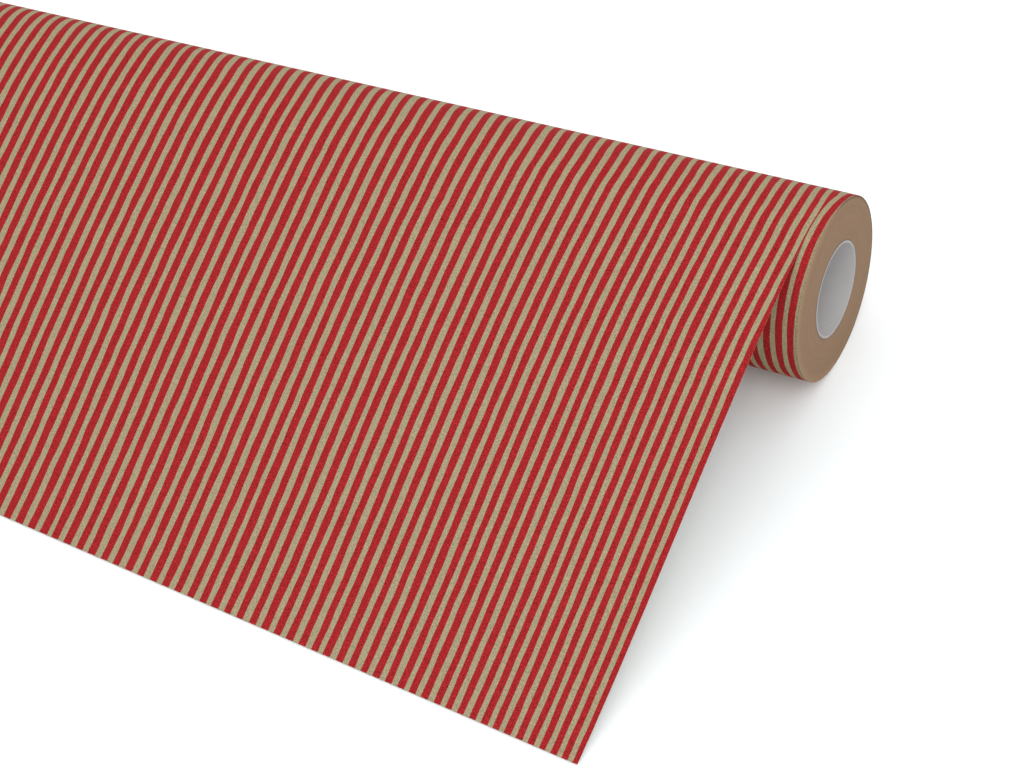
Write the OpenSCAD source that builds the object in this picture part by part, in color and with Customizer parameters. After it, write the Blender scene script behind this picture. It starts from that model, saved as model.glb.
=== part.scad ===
// Roll of striped gift wrap on a spiral-wound board core. It lies on its side, and its
// free end is drawn off the top and runs down to the surface that the roll lies on.
// X runs along the roll's axis, -Y is the way the paper is drawn, and Z is up.
// The origin is the centre of the core's bore, half way along the roll.

/* [Roll] */
// Width of the paper, and length of the core
roll_width = 500; // [250:1:760]
// Outside diameter of the wound paper
roll_d = 75; // [55:0.5:120]

/* [Core] */
// Diameter of the core's bore
bore_d = 38; // [25:0.5:45]
// Thickness of each of the core's three board plies
ply_t = 0.4; // [0.3:0.05:0.6]

/* [Start tape] */
// Number of tapes that hold the paper's inner end to the core
tape_count = 3; // [2:1:5]
// Width of each tape, along the roll
tape_width = 25; // [12:1:50]
// Thickness of each tape
tape_t = 0.06; // [0.04:0.01:0.1]
// Part of the core's circumference that each tape covers, in degrees
tape_arc = 110; // [60:5:180]

/* [Paper] */
// Thickness of the paper
paper_t = 0.1; // [0.08:0.01:0.3]
// Angle between the drawn paper and a straight run off the roll
skew_angle = 2.5; // [0:0.1:4]
// Step from the roll's end face to the paper's edge, where the paper leaves the roll
edge_inset = 6; // [2:0.5:12]

/* [Outer turn] */
// Part of a turn that the askew end of the paper still covers, in degrees
outer_arc = 160; // [60:5:165]
// Gap between the faceted outer turn and the true cylinder beneath it
turn_gap = 0.04; // [0.04:0.01:0.1]

/* [Drawn sheet] */
// Angle past the top of the roll at which the sheet leaves it
leave_angle = 14; // [5:1:25]
// Level distance from the roll's axis to the cut edge, at the sheet's longer side
reach = 209; // [180:1:260]
// Slope at which the sheet comes down on the surface
landing_slope = 17; // [10:1:25]
// Length of the curve's handles as a part of its chord
handle_share = 0.3; // [0.2:0.05:0.4]
// Gap between the drawn sheet and the outer turn
sheet_gap = 0.3; // [0.3:0.05:0.6]

/* [Hidden] */
$fn = 96;

board_grey = [0.53, 0.50, 0.46];
liner_white = [0.80, 0.79, 0.77];
tape_clear = [0.88, 0.86, 0.80];
stripe_red = [0.66, 0.17, 0.18];
stripe_tan = [0.68, 0.63, 0.51];

roll_r = roll_d / 2;
bore_r = bore_d / 2;
core_r = bore_r + 3 * ply_t;
tape_r = core_r + tape_t;
// The slit that takes the tapes is cut a little past their outer face
slit_margin = 0.02;
floor_z = -roll_r;
right_end = roll_width / 2;
skew = tan(skew_angle);
// The paper's width as it lies across the roll, a little more than its square width
across = roll_width / cos(skew_angle);
edge_x = right_end - edge_inset;
outer_steps = 40;
sheet_steps = 28;

// A tube of the roll's full width, between two radii
module tube_along_roll(inner_r, outer_r) {
    rotate([0, 90, 0])
        difference() {
            cylinder(r = outer_r, h = roll_width, center = true);
            cylinder(r = inner_r, h = roll_width + 2, center = true);
        }
}

// A curved strip that lies on the core, centred on the plane x = middle_x
module strip_on_core(middle_x, width, inner_r, outer_r) {
    translate([middle_x - width / 2, 0, 0])
        rotate([0, 90, 0])
            rotate_extrude(angle = tape_arc)
                translate([inner_r, 0])
                    square([outer_r - inner_r, width]);
}

function tape_x(i) = roll_width * ((i + 0.5) / tape_count - 0.5);

// The walls of a four-sided strip between ring i and ring i + 1, two triangles a side. The
// underside, k = 3, splits along the same diagonal as the face, so they stay parallel.
function strip_wall(i) = [
    for (k = [0:3])
        let (a = 4 * i + k, b = 4 * i + (k + 1) % 4, c = b + 4, d = a + 4)
            each k == 3 ? [[a, b, d], [b, c, d]] : [[a, b, c], [a, c, d]]
];

// A sheet swept through rings of four corners: two on its right edge, two on its left
module swept_paper(rings) {
    last = 4 * (len(rings) - 1);
    walls = [for (i = [0:len(rings) - 2]) each strip_wall(i)];
    ends = [[0, 3, 2], [0, 2, 1], [last, last + 1, last + 2], [last, last + 2, last + 3]];
    polyhedron(points = [for (ring = rings) each ring], faces = concat(walls, ends));
}

// Point at radius r, phi degrees past the top of the roll towards the drawn sheet
function on_roll(phi, r) = [-r * sin(phi), r * cos(phi)];

// Ring of the outer turn: the paper's edge walks out to the roll's end as phi falls
function outer_ring(phi) =
    let (
        under = on_roll(phi, roll_r + turn_gap),
        over = on_roll(phi, roll_r + turn_gap + paper_t),
        walked = skew * roll_r * (leave_angle - phi) * PI / 180,
        right = edge_x + walked
    ) [
        [right, under[0], under[1]], [right, over[0], over[1]],
        [right - across, over[0], over[1]], [right - across, under[0], under[1]]
    ];

leave_point = on_roll(leave_angle, roll_r + sheet_gap);
leave_run = [-cos(leave_angle), -sin(leave_angle)];
landing_run = [-cos(landing_slope), -sin(landing_slope)];

// The side view of the sheet's underside is one cubic curve from the roll to its cut edge
function landing_point(inboard) = [-(reach - inboard * skew), floor_z];
function curve_point(t, a, b, c, d) =
    pow(1 - t, 3) * a + 3 * t * pow(1 - t, 2) * b + 3 * t * t * (1 - t) * c + pow(t, 3) * d;
function curve_slope(t, a, b, c, d) =
    pow(1 - t, 2) * (b - a) + 2 * t * (1 - t) * (c - b) + t * t * (d - c);
function handles(inboard) =
    let (landing = landing_point(inboard), chord = norm(landing - leave_point)) [
        leave_point, leave_point + handle_share * chord * leave_run,
        landing - handle_share * chord * landing_run, landing
    ];

// Two corners of the sheet, on its underside and its face, inboard mm from its right edge
function sheet_corners(t, inboard) =
    let (
        h = handles(inboard),
        under = curve_point(t, h[0], h[1], h[2], h[3]),
        run = curve_slope(t, h[0], h[1], h[2], h[3]),
        over = under + paper_t * [run[1], -run[0]] / norm(run),
        x = edge_x - inboard - skew * (leave_point[0] - under[0])
    ) [[x, under[0], under[1]], [x, over[0], over[1]]];

function sheet_ring(t) =
    let (right = sheet_corners(t, 0), left = sheet_corners(t, across))
        [right[0], right[1], left[1], left[0]];

module core_inner_ply() {
    color(liner_white) tube_along_roll(bore_r, bore_r + ply_t);
}

module core_middle_ply() {
    color(board_grey) tube_along_roll(bore_r + ply_t, bore_r + 2 * ply_t);
}

module core_outer_ply() {
    color(board_grey) tube_along_roll(bore_r + 2 * ply_t, core_r);
}

module start_tape() {
    color(tape_clear)
        for (i = [0:tape_count - 1])
            strip_on_core(tape_x(i), tape_width, core_r, tape_r);
}

module wound_paper() {
    color(stripe_tan)
        difference() {
            tube_along_roll(core_r, roll_r);
            for (i = [0:tape_count - 1])
                strip_on_core(tape_x(i), tape_width, core_r - 1, tape_r + slit_margin);
        }
}

module outer_turn() {
    color(stripe_red)
        swept_paper([
            for (i = [0:outer_steps])
                outer_ring(leave_angle - outer_arc * (outer_steps - i) / outer_steps)
        ]);
}

module unrolled_sheet() {
    color(stripe_red)
        swept_paper([for (i = [0:sheet_steps]) sheet_ring(i / sheet_steps)]);
}

core_inner_ply();
core_middle_ply();
core_outer_ply();
start_tape();
wound_paper();
outer_turn();
unrolled_sheet();
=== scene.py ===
"""A roll of striped kraft gift wrap with its free end drawn off the top and down to the floor.

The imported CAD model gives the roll, its core and the drawn sheet. This script gives the paper
its print, its fibre and the edges of its many turns, and the core its spiral-wound plies.
Lengths are in metres. +X runs along the roll, -Y is the way the paper is drawn, +Z is up.
"""

import math

import bpy
import numpy as np
from mathutils import Matrix, Vector


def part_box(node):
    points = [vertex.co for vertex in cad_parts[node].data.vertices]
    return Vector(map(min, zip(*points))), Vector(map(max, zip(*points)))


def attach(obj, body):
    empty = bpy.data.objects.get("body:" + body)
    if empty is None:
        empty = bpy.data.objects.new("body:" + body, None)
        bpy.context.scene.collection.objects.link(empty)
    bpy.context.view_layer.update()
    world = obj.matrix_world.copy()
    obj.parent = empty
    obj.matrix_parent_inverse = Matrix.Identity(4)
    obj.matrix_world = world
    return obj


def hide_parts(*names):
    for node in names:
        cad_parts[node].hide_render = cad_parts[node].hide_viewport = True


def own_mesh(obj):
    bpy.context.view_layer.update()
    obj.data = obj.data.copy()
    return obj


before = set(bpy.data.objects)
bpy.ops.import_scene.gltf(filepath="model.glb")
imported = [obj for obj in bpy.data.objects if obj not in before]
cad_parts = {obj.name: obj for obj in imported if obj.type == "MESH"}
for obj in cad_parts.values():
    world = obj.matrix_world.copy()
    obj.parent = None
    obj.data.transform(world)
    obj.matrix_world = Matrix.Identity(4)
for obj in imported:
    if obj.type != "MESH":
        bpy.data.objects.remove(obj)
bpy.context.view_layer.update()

MM = 0.001

# ---------------------------------------------------------------- the paper's course

# These repeat the CAD source's dimensions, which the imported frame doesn't carry.
SKEW = math.radians(2.5)
LEAVE_ANGLE = math.radians(14)
LANDING_SLOPE = math.radians(17)
HANDLE_SHARE = 0.3
OUTER_ARC = math.radians(160)
PAPER_T = 0.1 * MM
# The last turn is drawn thinner than the paper, so that it lies close on the one beneath.
LAST_TURN_T = 0.04 * MM
# The cut edge's own curl holds it this far off the floor.
EDGE_LIFT = 0.8 * MM

roll_low, roll_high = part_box("wound_paper")
sheet_low, sheet_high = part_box("unrolled_sheet")
_, core_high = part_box("core_outer_ply")
_, middle_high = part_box("core_middle_ply")

ROLL_R = -roll_low.z
ROLL_END = roll_high.x
ROLL_WIDTH = roll_high.x - roll_low.x
FLOOR_Z = roll_low.z
CORE_R = core_high.z
PLY_T = core_high.z - middle_high.z
BORE_R = CORE_R - 3 * PLY_T
REACH = -sheet_low.y
EDGE_X = sheet_high.x
ACROSS = ROLL_WIDTH / math.cos(SKEW)

# The outer turn lies this far above the turn beneath it, and the sheet runs on from it.
OUTER_R = ROLL_R + 0.05 * MM

# ---------------------------------------------------------------- the camera

CAMERA_AZIMUTH = math.radians(40.86)
CAMERA_ELEVATION = math.radians(48.18)
CAMERA_ROLL = math.radians(-16.51)
CAMERA_LENS = 70.3
CAMERA_AIM = Vector((149.8, -85.5, 0.0)) * MM
CAMERA_DISTANCE = 780.2 * MM


def make_camera():
    a, e = CAMERA_AZIMUTH, CAMERA_ELEVATION
    back = Vector((math.sin(a) * math.cos(e), -math.cos(a) * math.cos(e), math.sin(e)))
    level = Vector((math.cos(a), math.sin(a), 0))
    upright = back.cross(level)
    right = math.cos(CAMERA_ROLL) * level + math.sin(CAMERA_ROLL) * upright
    up = back.cross(right)
    data = bpy.data.cameras.new("camera")
    data.lens = CAMERA_LENS
    data.sensor_width = 36
    data.clip_start = 0.01
    data.clip_end = 50
    camera = bpy.data.objects.new("camera", data)
    bpy.context.scene.collection.objects.link(camera)
    turn = Matrix((right, up, back)).transposed().to_4x4()
    camera.matrix_world = Matrix.Translation(CAMERA_AIM + back * CAMERA_DISTANCE) @ turn
    bpy.context.scene.camera = camera


# ---------------------------------------------------------------- node trees


class Tree:
    """Builds a material's nodes with short calls. Sockets and plain numbers mix freely."""

    def __init__(self, name):
        self.material = bpy.data.materials.new(name)
        self.material.use_nodes = True
        self.tree = self.material.node_tree
        self.tree.nodes.clear()

    def node(self, kind, **settings):
        made = self.tree.nodes.new("ShaderNode" + kind)
        for key, value in settings.items():
            setattr(made, key, value)
        return made

    def put(self, socket, value):
        if isinstance(value, bpy.types.NodeSocket):
            self.tree.links.new(value, socket)
        elif value is not None:
            socket.default_value = value

    def math(self, operation, a, b=None, c=None, clamp=False):
        made = self.node("Math", operation=operation, use_clamp=clamp)
        for socket, value in zip(made.inputs, (a, b, c)):
            self.put(socket, value)
        return made.outputs[0]

    def add(self, a, b):
        return self.math("ADD", a, b)

    def sub(self, a, b):
        return self.math("SUBTRACT", a, b)

    def mul(self, a, b):
        return self.math("MULTIPLY", a, b)

    def xyz(self, vector):
        made = self.node("SeparateXYZ")
        self.put(made.inputs[0], vector)
        return made.outputs

    def vector(self, x=0.0, y=0.0, z=0.0):
        made = self.node("CombineXYZ")
        for socket, value in zip(made.inputs, (x, y, z)):
            self.put(socket, value)
        return made.outputs[0]

    def uv(self, name):
        return self.xyz(self.node("UVMap", uv_map=name).outputs[0])

    def place(self):
        return self.node("TexCoord").outputs["Object"]

    def from_end(self, place):
        """The distance to the nearer end of the roll."""
        return self.sub(ROLL_END, self.math("ABSOLUTE", self.xyz(place)[0]))

    def noise(self, vector, scale=1.0, detail=0.0, roughness=0.5):
        made = self.node("TexNoise")
        self.put(made.inputs["Vector"], vector)
        self.put(made.inputs["Scale"], scale)
        self.put(made.inputs["Detail"], detail)
        self.put(made.inputs["Roughness"], roughness)
        return made.outputs[0]

    def random(self, value):
        made = self.node("TexWhiteNoise", noise_dimensions="1D")
        self.put(made.inputs["W"], value)
        return made.outputs["Value"]

    def swing(self, value, amount, middle=0.5):
        """value about its middle, times amount."""
        return self.mul(self.sub(value, middle), amount)

    def ramp(self, value, low, high, out_low=0.0, out_high=1.0, smooth=True):
        made = self.node("MapRange", interpolation_type="SMOOTHSTEP" if smooth else "LINEAR")
        for key, given in (
            ("Value", value),
            ("From Min", low),
            ("From Max", high),
            ("To Min", out_low),
            ("To Max", out_high),
        ):
            self.put(made.inputs[key], given)
        return made.outputs[0]

    def mix(self, share, a, b, blend="MIX"):
        made = self.node("Mix", data_type="RGBA", blend_type=blend)
        self.put(made.inputs[0], share)
        for socket, value in ((made.inputs[6], a), (made.inputs[7], b)):
            self.put(socket, (*value, 1.0) if isinstance(value, tuple) else value)
        return made.outputs[2]

    def lighten(self, colour, factor):
        """colour times a factor that varies over the surface."""
        grey = self.node("CombineColor")
        for socket in grey.inputs:
            self.put(socket, factor)
        return self.mix(1.0, colour, grey.outputs[0], "MULTIPLY")

    def finish(self, colour, roughness, height=None, bump_m=0.0, specular=0.3):
        shader = self.node("BsdfPrincipled")
        self.put(shader.inputs["Base Color"], colour)
        self.put(shader.inputs["Roughness"], roughness)
        shader.inputs["Specular IOR Level"].default_value = specular
        if height is not None:
            bump = self.node("Bump")
            bump.inputs["Distance"].default_value = bump_m
            bump.inputs["Strength"].default_value = 1.0
            self.put(bump.inputs["Height"], height)
            self.tree.links.new(bump.outputs[0], shader.inputs["Normal"])
        out = self.node("OutputMaterial")
        self.tree.links.new(shader.outputs[0], out.inputs[0])
        return self.material


# ---------------------------------------------------------------- materials

KRAFT_TAN = (0.288, 0.247, 0.153)
PRINT_RED = (0.284, 0.016, 0.018)
KRAFT_EDGE = (0.211, 0.1305, 0.0785)
KRAFT_BACK = (0.288, 0.235, 0.150)
LINER_WHITE = (0.402, 0.388, 0.386)
LINER_CUT = (0.36, 0.36, 0.37)
BOARD_GREY = (0.26, 0.24, 0.22)
BOARD_BROWN = (0.165, 0.112, 0.075)
TAPE_BUFF = (0.70, 0.64, 0.50)

# The print's red stripes: their mean share of the pitch, and how it varies by stripe.
RED_SHARE = 0.56
RED_SHARE_SPREAD = 0.05
STRIPE_STRAY = 0.05
# The stripe number at the paper's own edge, and at the roll's end.
EDGE_PHASE = 0.25
ROLL_PHASE = -0.10
# Stripes on the roll, per stripe of the web above them.
UNDER_WEB_PITCH = 0.965
# How many stripes the roll's print strays towards its end, and where round the roll, from
# the underside, it strays furthest.
PRINT_STRAY = 0.3
PRINT_STRAY_AT = math.radians(140)
# The hand-drawn waver of each stripe's sides: wavelength in mm, and share of the pitch.
WAVERS = ((12.0, 0.14), (36.0, 0.14))
# Fibre clumps per metre along X, Y and Z.
FIBRE_SCALE = (2400.0, 1700.0, 1900.0)


def fibre(t, at):
    """A fine uneven grey about 1: short fibres that lie along the paper, over a soft cloud."""
    lain = t.vector(*[t.mul(part, scale) for part, scale in zip(t.xyz(at), FIBRE_SCALE)])
    fine = t.swing(t.noise(lain, detail=3.0, roughness=0.75), 2.35)
    cloud = t.swing(t.noise(at, scale=130.0, detail=3.0), 0.07)
    return t.add(t.add(fine, cloud), 1.0)


def striped_paper(name, seed, brown_near_end=0.0):
    """Kraft printed with hand-drawn stripes. UV map print holds (stripe number, mm along).

    Its last argument is how brown the bare paper goes in the last 2 mm before the roll's end."""
    t = Tree(name)
    number, along, _ = t.uv("print")
    index = t.math("FLOOR", number)
    part = t.math("FRACT", number)

    def waver(side):
        total = 0.0
        for wavelength, amount in WAVERS:
            at = t.vector(
                t.add(t.mul(index, 7.313), side + seed),
                t.mul(along, 1.0 / wavelength),
                t.mul(index, 3.127),
            )
            total = t.add(total, t.swing(t.noise(at, detail=1.0), amount))
        return total

    stray = t.swing(t.random(t.add(index, seed + 0.3)), STRIPE_STRAY)
    share = t.swing(t.random(t.add(index, seed + 50.7)), RED_SHARE_SPREAD)
    half = t.mul(t.add(share, RED_SHARE), 0.5)
    middle = t.add(stray, 0.5)
    low = t.add(t.sub(middle, half), waver(0.41))
    high = t.add(t.add(middle, half), waver(20.83))
    soft = 0.012
    past_low = t.ramp(t.sub(part, low), -soft, soft)
    red = t.mul(past_low, t.ramp(t.sub(high, part), -soft, soft))
    place = t.place()
    grain = fibre(t, place)
    ink = t.swing(t.noise(place, scale=1900.0, detail=3.0, roughness=0.75), 2.6)
    tan = KRAFT_TAN
    # Darker brown towards the roll's end.
    if brown_near_end:
        brown = t.ramp(t.from_end(place), 0.2 * MM, 2.2 * MM, brown_near_end, 0.0)
        tan = t.mix(brown, KRAFT_TAN, KRAFT_EDGE)
    tan = t.lighten(tan, grain)
    printed = t.lighten(PRINT_RED, t.add(grain, ink))
    colour = t.mix(red, tan, printed)
    rough = t.add(t.mul(grain, 0.1), t.ramp(red, 0, 1, 0.66, 0.58))
    return t.finish(colour, rough, grain, 0.02 * MM, specular=0.02)


def plain_kraft(name, tint):
    t = Tree(name)
    grain = fibre(t, t.place())
    return t.finish(t.lighten(tint, grain), 0.82, grain, 0.02 * MM, specular=0.02)


def turn_edges():
    """The cut edges of the paper's turns: fine rings, some proud and some sunk.

    Their rim carries a painted highlight on the side of the drawn sheet and a painted shade on the
    far side."""
    t = Tree("turn_edges")
    _, y, z = t.xyz(t.place())
    radius = t.math("SQRT", t.add(t.mul(y, y), t.mul(z, z)))
    angle = t.math("ARCTAN2", z, y)
    rings_per_metre, drift = 900.0, 0.6
    around = t.vector(
        t.mul(radius, rings_per_metre),
        t.mul(t.math("SINE", angle), drift),
        t.mul(t.math("COSINE", angle), drift),
    )
    broad = t.noise(around, scale=1.0, detail=2.0)
    fine = t.noise(around, scale=7.0, detail=2.0, roughness=0.7)
    grit = t.noise(t.place(), scale=1500.0, detail=3.0)
    shade = t.add(
        t.add(t.swing(broad, 0.16), t.swing(fine, 0.22)), t.add(t.swing(grit, 0.16), 1.0)
    )
    height = t.add(t.mul(fine, 0.7), t.mul(grit, 0.3))
    # Painted light: the outer 4 mm of the rim get a painted highlight towards the drawn sheet, and
    # the ring from 1.4 mm inside the edge outwards gets a painted shade on the far side.
    rim = t.ramp(radius, ROLL_R - 4 * MM, ROLL_R)
    painted_shade_ring = t.ramp(radius, ROLL_R - 1.4 * MM, ROLL_R - 0.5 * MM)
    front = t.ramp(y, -12 * MM, 8 * MM, 0.16, 0.0)
    back = t.ramp(y, 4 * MM, 16 * MM, 0.0, -0.5)
    shade = t.add(shade, t.add(t.mul(rim, front), t.mul(painted_shade_ring, back)))
    return t.finish(t.lighten(KRAFT_EDGE, shade), 0.86, height, 0.05 * MM, specular=0.18)


def board(name, tint, mottle, end_painted_light=0.0):
    """Core board: short grey and pale fibres, pressed flat.

    Its last argument paints it paler towards its ends, fading over 22 mm: painted light, standing
    for the light that reaches into the bore's mouth."""
    t = Tree(name)
    place = t.place()
    specks = t.swing(t.noise(place, scale=1400.0, detail=4.0, roughness=0.7), mottle)
    cloud = t.swing(t.noise(place, scale=90.0, detail=2.0), mottle * 0.5)
    shade = t.add(t.add(specks, cloud), 1.0)
    if end_painted_light:
        # Painted light: paler near the roll's ends, darker deeper into the bore.
        shade = t.add(shade, t.ramp(t.from_end(place), 0.0, 22 * MM, end_painted_light, 0.0))
    return t.finish(t.lighten(tint, shade), 0.75, specks, 0.03 * MM, specular=0.25)


def tape_film():
    t = Tree("tape_film")
    creases = t.noise(t.place(), scale=300.0, detail=2.0)
    shade = t.add(t.swing(creases, 0.12), 1.0)
    return t.finish(t.lighten(TAPE_BUFF, shade), 0.35, creases, 0.01 * MM)


def floor_white():
    t = Tree("floor_white")
    tooth = t.noise(t.place(), scale=60.0, detail=2.0)
    colour = t.lighten((0.90, 0.935, 0.945), t.add(t.swing(tooth, 0.01), 1.0))
    return t.finish(colour, 0.9, specular=0.1)


# ---------------------------------------------------------------- meshes


def stripe_number(across_mm):
    """How many stripes lie between the paper's edge and a point; they widen inboard."""
    wide_pitch = 7.3
    extra = 9.9
    spread = 132.0
    return across_mm / wide_pitch + extra * (1 - np.exp(-across_mm / spread))


def smooth_rise(value, low, high):
    """0 below low, 1 above high, and a smooth step between them."""
    t = np.clip((value - low) / (high - low), 0.0, 1.0)
    return t * t * (3 - 2 * t)


def web_print(inboard_mm, drawn_mm):
    """The print at a point of the web: its stripe number, and millimetres along the stripe.

    drawn_mm is measured down the sheet from where it leaves the roll, so it is negative on
    the roll. The hand-drawn stripes lean a little one way and then the other as they run
    down the sheet, and lean over further behind the roll's crest. All is in millimetres."""
    bow_start, bow_level, bow_spread = 50, 70, 160
    bow = 0.00002 + 0.00020 * (1 - np.exp(-inboard_mm / bow_spread))
    lean = bow * (bow_level**2 - np.maximum(drawn_mm - bow_start, 0) ** 2)

    at_edge, fall = 2.1, 3.6
    crest = at_edge - fall * smooth_rise(inboard_mm, 10, 220)
    lean = lean - crest * (1 - smooth_rise(drawn_mm, -10, 60))

    behind_edge, growth, widest, furthest = 6.5, 0.035, 270, -58
    behind = behind_edge + growth * np.minimum(inboard_mm, widest)
    onset = -8 + 6 * smooth_rise(inboard_mm, 60, 220)
    lean = lean + behind * (1 - smooth_rise(drawn_mm, furthest, onset))

    number = stripe_number(inboard_mm - lean) + EDGE_PHASE
    return np.stack([number, drawn_mm / math.cos(SKEW) + inboard_mm * math.tan(SKEW)], -1)


def mesh_object(name, points, faces, materials, kinds=None, prints=None):
    """A smooth-shaded mesh. kinds gives each face's material, prints each point's UV."""
    mesh = bpy.data.meshes.new(name)
    mesh.from_pydata([tuple(p) for p in points], [], [tuple(f) for f in faces])
    for material in materials:
        mesh.materials.append(material)
    if kinds is not None:
        mesh.polygons.foreach_set("material_index", np.asarray(kinds, np.int32))
    mesh.polygons.foreach_set("use_smooth", np.ones(len(mesh.polygons), bool))
    if prints is not None:
        layer = mesh.uv_layers.new(name="print")
        corner = np.zeros(len(mesh.loops), np.int32)
        mesh.loops.foreach_get("vertex_index", corner)
        layer.data.foreach_set("uv", np.asarray(prints, np.float32)[corner].ravel())
    mesh.validate()
    mesh.update()
    made = bpy.data.objects.new(name, mesh)
    bpy.context.scene.collection.objects.link(made)
    return made


def grid_faces(rows, columns, start=0, flip=False, wrap=False):
    """Quads over rows x columns points, numbered row by row; wrap joins the last row."""
    faces = []
    for i in range(rows if wrap else rows - 1):
        j = (i + 1) % rows
        for k in range(columns - 1):
            quad = [
                start + i * columns + k,
                start + i * columns + k + 1,
                start + j * columns + k + 1,
                start + j * columns + k,
            ]
            faces.append(quad[::-1] if flip else quad)
    return faces


def paper_shell(name, face_points, normals, prints, thickness, materials):
    """A closed two-sided sheet: a printed face, its back, and a thin cut edge all round.

    face_points has the shape (rows, columns, 3)."""
    rows, columns = face_points.shape[:2]
    count = rows * columns
    front = face_points.reshape(-1, 3)
    back = (face_points - normals * thickness).reshape(-1, 3)
    faces = grid_faces(rows, columns)
    kinds = [0] * len(faces)
    faces += grid_faces(rows, columns, count, flip=True)
    rim = (
        [k for k in range(columns)]
        + [i * columns + columns - 1 for i in range(1, rows)]
        + [(rows - 1) * columns + k for k in range(columns - 2, -1, -1)]
        + [i * columns for i in range(rows - 2, 0, -1)]
    )
    for a, b in zip(rim, rim[1:] + rim[:1]):
        faces.append([b, a, a + count, b + count])
    kinds += [1] * (len(faces) - len(kinds))
    both = np.concatenate([prints.reshape(-1, 2)] * 2)
    made = mesh_object(name, np.concatenate([front, back]), faces, materials, kinds, both)
    sharpen(made)
    return made


def sharpen(made, degrees=40):
    """Marks edges sharper than an angle, so that a cut edge doesn't shade the face."""
    mesh = made.data
    mesh.set_sharp_from_angle(angle=math.radians(degrees))


def bezier(a, b, c, d, t):
    t = t[:, None]
    return (1 - t) ** 3 * a + 3 * t * (1 - t) ** 2 * b + 3 * t * t * (1 - t) * c + t**3 * d


def sheet_run(inboard):
    """Where (y, z) the sheet leaves the roll, and the direction and length to its cut edge."""
    start = np.array([-OUTER_R * math.sin(LEAVE_ANGLE), OUTER_R * math.cos(LEAVE_ANGLE)])
    landing = np.array([-(REACH - inboard * math.tan(SKEW)), FLOOR_Z + EDGE_LIFT])
    chord = np.linalg.norm(landing - start)
    return start, (landing - start) / chord, chord


def sheet_section(inboard, steps):
    """The side view (y, z) of the drawn sheet's face, inboard metres from its right edge."""
    start, slope, chord = sheet_run(inboard)
    landing = start + slope * chord
    run_off = -np.array([math.cos(LEAVE_ANGLE), math.sin(LEAVE_ANGLE)])
    run_in = -np.array([math.cos(LANDING_SLOPE), math.sin(LANDING_SLOPE)])
    return bezier(
        start,
        start + HANDLE_SHARE * chord * run_off,
        landing - HANDLE_SHARE * chord * run_in,
        landing,
        np.linspace(0, 1, steps),
    )


def drawn_sheet(materials):
    columns, rows = 91, 201
    points = np.zeros((rows, columns, 3))
    prints = np.zeros((rows, columns, 2))
    for i, inboard in enumerate(np.linspace(0, ACROSS, rows)):
        section = sheet_section(inboard, columns)
        steps = np.linalg.norm(np.diff(section, axis=0), axis=1)
        drawn = np.concatenate([[0], np.cumsum(steps)])
        points[i, :, 0] = EDGE_X - inboard - math.tan(SKEW) * (section[0, 0] - section[:, 0])
        points[i, :, 1:] = section
        prints[i] = web_print(inboard * math.cos(SKEW) / MM, drawn / MM)
    down = np.gradient(points, axis=1)
    side = np.gradient(points, axis=0)
    normals = np.cross(down, side)
    normals /= np.linalg.norm(normals, axis=2, keepdims=True)
    normals *= np.sign(normals[rows // 2, columns // 2, 2])
    return paper_shell("drawn_sheet", points, normals, prints, PAPER_T, materials)


def outer_turn(materials):
    columns, rows = 81, 101
    points = np.zeros((rows, columns, 3))
    prints = np.zeros((rows, columns, 2))
    normals = np.zeros((rows, columns, 3))
    phi = np.linspace(LEAVE_ANGLE, LEAVE_ANGLE - OUTER_ARC, columns)
    wound = ROLL_R * (LEAVE_ANGLE - phi)
    # The turn comes down on the one beneath it by its far end.
    lift = (OUTER_R - ROLL_R) * np.linspace(1, 0.5, columns)
    for i, inboard in enumerate(np.linspace(0, ACROSS, rows)):
        points[i, :, 0] = EDGE_X - inboard + math.tan(SKEW) * wound
        points[i, :, 1] = -(ROLL_R + lift) * np.sin(phi)
        points[i, :, 2] = (ROLL_R + lift) * np.cos(phi)
        normals[i, :, 1] = -np.sin(phi)
        normals[i, :, 2] = np.cos(phi)
        prints[i] = web_print(inboard * math.cos(SKEW) / MM, -wound / MM)
    # Rows run inboard and columns run back round the roll, so the face looks outwards.
    return paper_shell(
        "outer_turn_paper", points[::-1], normals[::-1], prints[::-1], LAST_TURN_T, materials
    )


def revolved(name, profile, segments, materials, kinds, stripes):
    """A closed solid of revolution about X, from a closed profile of (x, radius) points.

    kinds gives the material of each side of the profile, and stripes each point's stripe
    number. The print's length runs round from the underside, where its two ends meet."""
    count = len(profile)
    x = np.array([p[0] for p in profile])
    radius = np.array([p[1] for p in profile])
    turned = 2 * math.pi * np.arange(segments + 1) / segments
    points = [
        (x[k], radius[k] * math.sin(a), -radius[k] * math.cos(a))
        for a in turned[:-1]
        for k in range(count)
    ]
    faces, sides, corners = [], [], []
    for i in range(segments):
        j = (i + 1) % segments
        for k in range(count):
            m = (k + 1) % count
            faces.append([i * count + k, i * count + m, j * count + m, j * count + k])
            sides.append(kinds[k])
            for step, at in ((i, k), (i, m), (i + 1, m), (i + 1, k)):
                nearness = max(0.0, math.cos(turned[step] - PRINT_STRAY_AT)) ** 2
                stray = PRINT_STRAY * nearness
                corners.append((stripes[at] + stray, ROLL_R * turned[step] / MM))
    made = mesh_object(name, points, faces, materials, sides)
    layer = made.data.uv_layers.new(name="print")
    layer.data.foreach_set("uv", np.asarray(corners, np.float32).ravel())
    sharpen(made)
    return made


def smooth_steps(count, amount, seed):
    """count small offsets, each a blend of its neighbours', within about amount of 0."""
    draws = np.random.default_rng(seed).uniform(-1, 1, count + 4)
    weights = np.array([0.1, 0.2, 0.4, 0.2, 0.1])
    return amount * np.convolve(draws, weights, "valid") / 0.6


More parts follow.
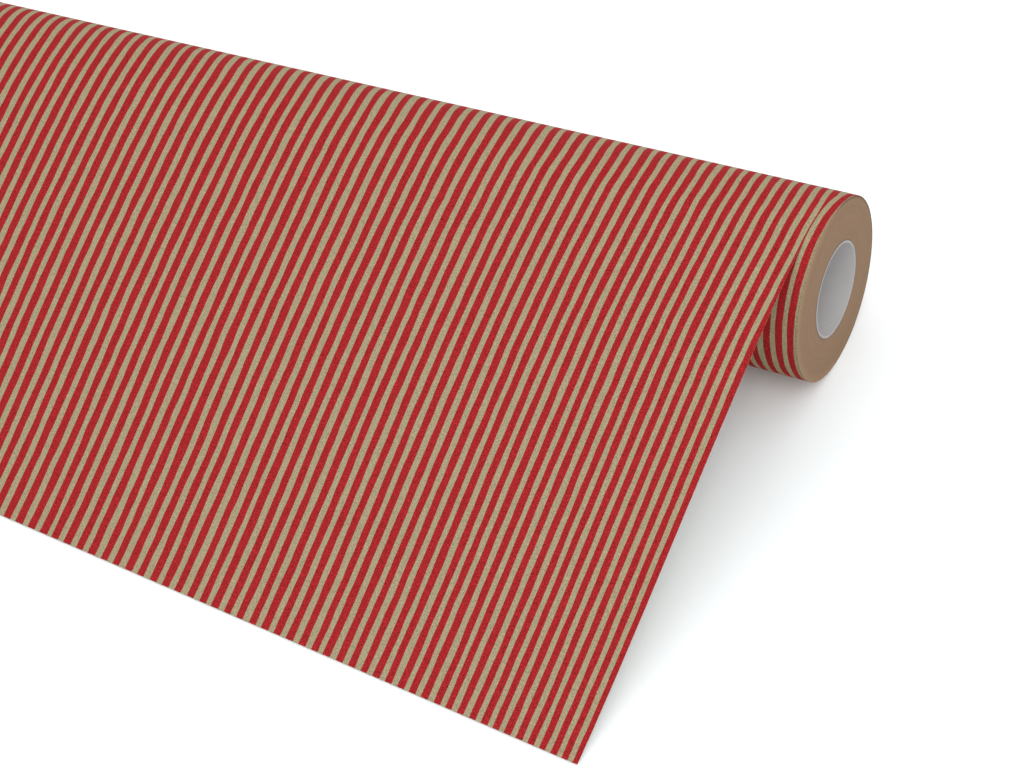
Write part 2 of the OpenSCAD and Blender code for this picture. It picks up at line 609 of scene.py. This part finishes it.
def wound_turns(materials):
    """The wound paper: its printed outside, and ends where some turns stand proud."""
    rings = 58
    edge_round = 0.25 * MM
    inner = CORE_R + 0.07 * MM
    radii = np.linspace(inner, ROLL_R - edge_round, rings)
    right = ROLL_END - 0.06 * MM + smooth_steps(rings, 0.09 * MM, 11)
    left = -ROLL_END + 0.06 * MM + smooth_steps(rings, 0.09 * MM, 12)
    length = np.linspace(-ROLL_END + edge_round, ROLL_END - edge_round, 90)
    profile = [(left[k], radii[k]) for k in range(rings)]
    profile += [(x, ROLL_R) for x in length]
    profile += [(right[k], radii[k]) for k in range(rings - 1, -1, -1)]
    kinds = [1] * (rings - 1) + [0] * (len(length) + 1) + [1] * rings
    inboard_mm = [max(0.0, ROLL_END - x) / MM for x, _ in profile]
    stripes = [UNDER_WEB_PITCH * stripe_number(mm) + ROLL_PHASE for mm in inboard_mm]
    return revolved("wound_turns", profile, 192, materials, kinds, stripes)


def core_ply(name, inner, outer, lead, start, materials, trim):
    """A spiral-wound ply: a tube whose butt seam is a fine helical groove on both faces.

    materials are those of its two faces and of its cut ends."""
    groove_half, groove_depth = 0.012, 0.10 * MM
    plain = np.linspace(groove_half * 2, 2 * math.pi - groove_half * 2, 92)
    around = np.concatenate([[-groove_half, 0.0, groove_half], plain])
    depth = np.where(np.abs(around) < groove_half / 2, groove_depth, 0.0)
    end = ROLL_END - trim
    along = np.linspace(-end, end, 161)
    rows, columns = len(along), len(around)
    points = []
    for side, radius in ((1, inner), (-1, outer)):
        for x in along:
            angle = around + start + 2 * math.pi * x / lead
            r = radius + side * depth
            points.append(np.stack([np.full(columns, x), r * np.cos(angle), r * np.sin(angle)], 1))
    points = np.concatenate(points)
    faces = []
    half = rows * columns
    for i in range(rows - 1):
        for k in range(columns):
            m = (k + 1) % columns
            a, b = i * columns + k, i * columns + m
            c, d = b + columns, a + columns
            faces.append([a, b, c, d])
            faces.append([d + half, c + half, b + half, a + half])
    kinds = [0] * len(faces)
    last = (rows - 1) * columns
    for k in range(columns):
        m = (k + 1) % columns
        faces.append([k, k + half, m + half, m])
        faces.append([last + m, last + m + half, last + k + half, last + k])
    kinds += [1] * (len(faces) - len(kinds))
    made = mesh_object(name, points, faces, materials, kinds)
    sharpen(made)
    return made


# ---------------------------------------------------------------- the studio


def make_floor(material):
    size = 6.0
    level = FLOOR_Z - 0.05 * MM
    corners = [(-size, -size), (size, -size), (size, size), (-size, size)]
    points = [(x, y, level) for x, y in corners]
    mesh_object("floor", points, [[0, 1, 2, 3]], [material])


def make_backdrop():
    """A white dome that the camera sees but that gives no light and casts no shadow."""
    t = Tree("backdrop_white")
    glow = t.node("Emission")
    out = t.node("OutputMaterial")
    t.tree.links.new(glow.outputs[0], out.inputs[0])
    rings, steps, size = 12, 48, 12.0
    points = [
        (
            size * math.sin(math.pi * i / rings) * math.cos(2 * math.pi * k / steps),
            size * math.sin(math.pi * i / rings) * math.sin(2 * math.pi * k / steps),
            size * math.cos(math.pi * i / rings),
        )
        for i in range(1, rings)
        for k in range(steps)
    ]
    faces = []
    for i in range(rings - 2):
        for k in range(steps):
            m = (k + 1) % steps
            a, b = i * steps + k, i * steps + m
            faces.append([a, b, b + steps, a + steps])
    faces.append([k for k in range(steps)])
    faces.append([(rings - 2) * steps + k for k in range(steps - 1, -1, -1)])
    dome = mesh_object("backdrop", points, faces, [t.material])
    dome.visible_diffuse = False
    dome.visible_glossy = False
    dome.visible_transmission = False
    dome.visible_shadow = False


SKY_STRENGTH = 1.2
KEY_PLACE = (1.2, -0.9, 1.6)
KEY_SIZE = 1.4
KEY_POWER = 12.0


def make_light(name, place, size, power):
    data = bpy.data.lights.new(name, "AREA")
    data.shape = "DISK"
    data.size = size
    data.energy = power
    lamp = bpy.data.objects.new(name, data)
    lamp.location = place
    lamp.rotation_euler = (-Vector(place)).to_track_quat("-Z", "Y").to_euler()
    bpy.context.scene.collection.objects.link(lamp)


def make_studio():
    scene = bpy.context.scene
    scene.view_settings.view_transform = "Standard"
    world = bpy.data.worlds.new("studio")
    world.use_nodes = True
    sky = world.node_tree.nodes["Background"]
    sky.inputs["Color"].default_value = (1.0, 1.0, 1.0, 1.0)
    sky.inputs["Strength"].default_value = SKY_STRENGTH
    scene.world = world
    make_floor(floor_white())
    make_backdrop()
    make_light("key_light", KEY_PLACE, KEY_SIZE, KEY_POWER)


def wind_in(sheet):
    """The roll takes the sheet in as it turns; here the sheet only gets its own copy of its mesh.
    """
    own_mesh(sheet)


def use_paper(piece, body, node):
    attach(piece, body)
    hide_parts(node)


def main():
    make_camera()
    kraft_back = plain_kraft("kraft_back", KRAFT_BACK)
    web = striped_paper("striped_web", 3.1)
    under_web = striped_paper("striped_web_beneath", 61.7, brown_near_end=0.5)
    sheet = drawn_sheet([web, kraft_back])
    use_paper(sheet, "sheet", "unrolled_sheet")
    use_paper(outer_turn([web, kraft_back]), "roll", "outer_turn")
    turns = wound_turns([under_web, turn_edges()])
    use_paper(turns, "roll", "wound_paper")

    # The liner is painted paler near the bore's mouth: painted light.
    liner = board("liner_board", LINER_WHITE, 0.10, end_painted_light=0.13)
    grey_board = board("grey_board", BOARD_GREY, 0.22)
    brown_board = board("brown_board", BOARD_BROWN, 0.22)
    liner_cut = board("liner_cut_edge", LINER_CUT, 0.16)
    plies = (
        ("core_inner_ply", [liner, liner_cut], 0.092, 0.4, 0.0),
        ("core_middle_ply", [grey_board] * 2, 0.097, 2.5, 0.06 * MM),
        ("core_outer_ply", [brown_board] * 2, 0.101, 4.4, 0.03 * MM),
    )
    thickness = (CORE_R - BORE_R) / len(plies)
    for i, (node, materials, lead, start, trim) in enumerate(plies):
        inner = BORE_R + i * thickness
        ply = core_ply(node + "_board", inner, inner + thickness, lead, start, materials, trim)
        use_paper(ply, "roll", node)

    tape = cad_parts["start_tape"]
    tape.data.materials.clear()
    tape.data.materials.append(tape_film())

    wind_in(sheet)
    make_studio()


main()
